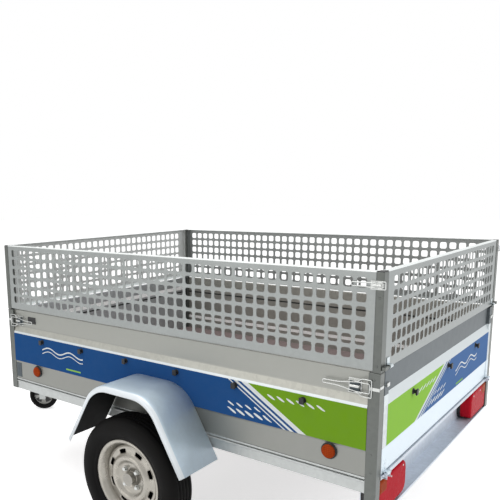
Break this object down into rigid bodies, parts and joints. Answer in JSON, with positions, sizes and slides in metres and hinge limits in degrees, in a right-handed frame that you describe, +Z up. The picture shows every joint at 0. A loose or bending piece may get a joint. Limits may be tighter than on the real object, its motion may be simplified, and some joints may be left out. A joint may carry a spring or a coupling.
{
  "type": "utility trailer",
  "caption": "Single-axle galvanised box trailer with perforated extension sides, drop tailgate, mudguards, V drawbar, ball coupling and jockey wheel.",
  "frame": {"origin": "on the ground under the middle of the whole trailer's box", "axes": "+X forward to the coupling, +Y to the trailer's left, +Z up"},
  "size_m": [3.165, 2.044, 1.245],
  "materials": {
    "galvanised_steel": "hot-dip galvanised, satin",
    "pressed_panel": "galvanised sheet with printed blue and green field",
    "perforated_sheet": "galvanised perforated sheet",
    "zinc_plated": "bright zinc",
    "black_paint": "semi-gloss black",
    "black_plastic": "moulded, matte",
    "floor_board": "film-faced plywood",
    "cast_steel": "zinc-sprayed",
    "wheel_silver": "silver lacquer",
    "tyre_rubber": "matte rubber",
    "amber_lens": "clear amber plastic",
    "red_lens": "clear red plastic"
  },
  "bodies": {
    "chassis": {"side_rails": "galvanised_steel", "front_crossmember": "galvanised_steel", "lamp_board": "galvanised_steel", "floor_bearers": "galvanised_steel", "drawbar_legs": "black_paint", "drawbar_nose": "black_paint", "coupling_head": "galvanised_steel", "coupling_handle": "black_plastic", "axle_beam": "galvanised_steel", "axle_arms": "cast_steel", "floor_panel": "floor_board", "side_left": "pressed_panel", "side_right": "pressed_panel", "corner_posts": "galvanised_steel", "mesh_left": "perforated_sheet", "mesh_right": "perforated_sheet", "mesh_front": "perforated_sheet", "extension_posts": "galvanised_steel", "mudguard_left": "galvanised_steel", "mudguard_right": "galvanised_steel", "mudguard_stays": "galvanised_steel", "marker_lamps": "amber_lens", "tail_lamp_housings": "black_plastic", "tail_lamp_lenses": "red_lens", "tie_hooks": "black_plastic", "door_toggles": "zinc_plated", "mesh_toggles": "zinc_plated", "jockey_clamp": "galvanised_steel", "jockey_tube": "zinc_plated", "jockey_crank": "zinc_plated"},
    "front_board": {"front_board": "pressed_panel", "front_hooks": "black_plastic"},
    "tailgate": {"tailgate": "pressed_panel", "tailgate_hooks": "black_plastic"},
    "mesh_gate": {"mesh_gate": "perforated_sheet"},
    "wheel_left": {"hub_left": "cast_steel", "rim_left": "wheel_silver", "tyre_left": "tyre_rubber"},
    "wheel_right": {"hub_right": "cast_steel", "rim_right": "wheel_silver", "tyre_right": "tyre_rubber"},
    "jockey_stem": {"jockey_stem": "zinc_plated"},
    "jockey_fork": {"jockey_fork": "galvanised_steel"},
    "jockey_wheel": {"jockey_rim": "zinc_plated", "jockey_tyre": "tyre_rubber"}
  },
  "joints": [
    {"name": "wheel_left_spin", "type": "hinge", "parent": "chassis", "child": "wheel_left", "pos_m": [-0.5375, 0.934, 0.281], "axis": [0, 1, 0], "continuous": true},
    {"name": "wheel_right_spin", "type": "hinge", "parent": "chassis", "child": "wheel_right", "pos_m": [-0.5375, -0.934, 0.281], "axis": [0, 1, 0], "continuous": true},
    {"name": "tailgate_hinge", "type": "hinge", "parent": "chassis", "child": "tailgate", "pos_m": [-1.5745, 0, 0.513], "axis": [0, -1, 0], "range_deg": [0, 175]},
    {"name": "front_board_hinge", "type": "hinge", "parent": "chassis", "child": "front_board", "pos_m": [0.5535, 0, 0.513], "axis": [0, 1, 0], "range_deg": [0, 90]},
    {"name": "mesh_gate_hinge", "type": "hinge", "parent": "chassis", "child": "mesh_gate", "pos_m": [-1.5715, 0, 0.911], "axis": [0, -1, 0], "range_deg": [0, 165]},
    {"name": "jockey_lift", "type": "slide", "parent": "chassis", "child": "jockey_stem", "axis": [0, 0, 1], "range_m": [0, 0.14]},
    {"name": "jockey_swivel", "type": "hinge", "parent": "jockey_stem", "child": "jockey_fork", "pos_m": [1.1325, 0.13143, 0.23], "axis": [0, 0, 1], "continuous": true},
    {"name": "jockey_spin", "type": "hinge", "parent": "jockey_fork", "child": "jockey_wheel", "pos_m": [1.1325, 0.13143, 0.1], "axis": [-0.5736, 0.8192, 0], "continuous": true}
  ]
}
